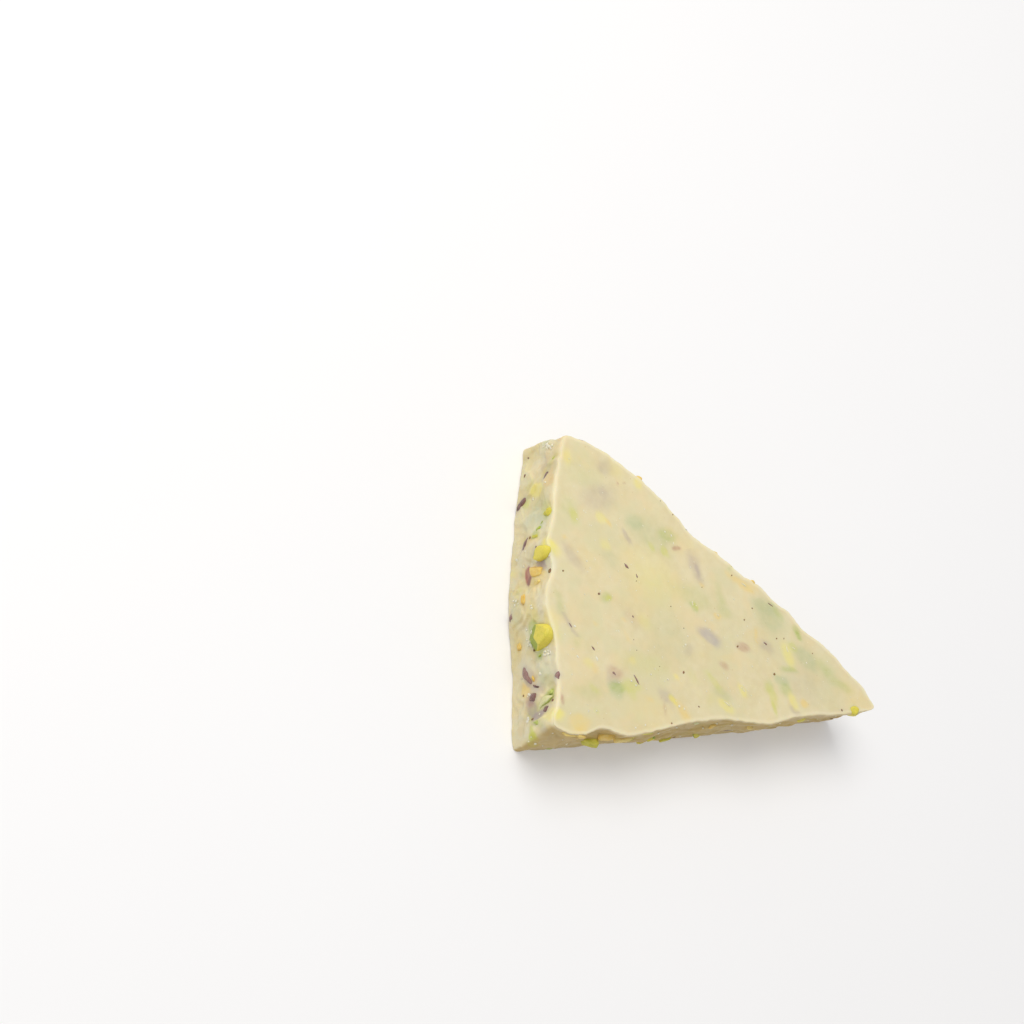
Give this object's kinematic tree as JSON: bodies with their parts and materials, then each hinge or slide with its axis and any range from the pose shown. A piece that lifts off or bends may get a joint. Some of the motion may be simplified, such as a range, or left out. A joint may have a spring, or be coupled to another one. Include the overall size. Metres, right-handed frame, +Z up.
{
  "type": "white chocolate slab",
  "caption": "Three-cornered shard broken from a thick white chocolate slab with chopped pistachio, flat poured faces and rough broken sides.",
  "frame": {"origin": "under the middle of the shard's box, on the surface that it rests on", "axes": "+X along the long bottom side towards the sharp tip, +Y towards the apex, +Z up out of the front poured face"},
  "size_m": [0.079, 0.0608, 0.0141],
  "materials": {
    "chocolate": "waxy satin"
  },
  "bodies": {
    "root": {"slab": "chocolate"}
  },
  "joints": []
}
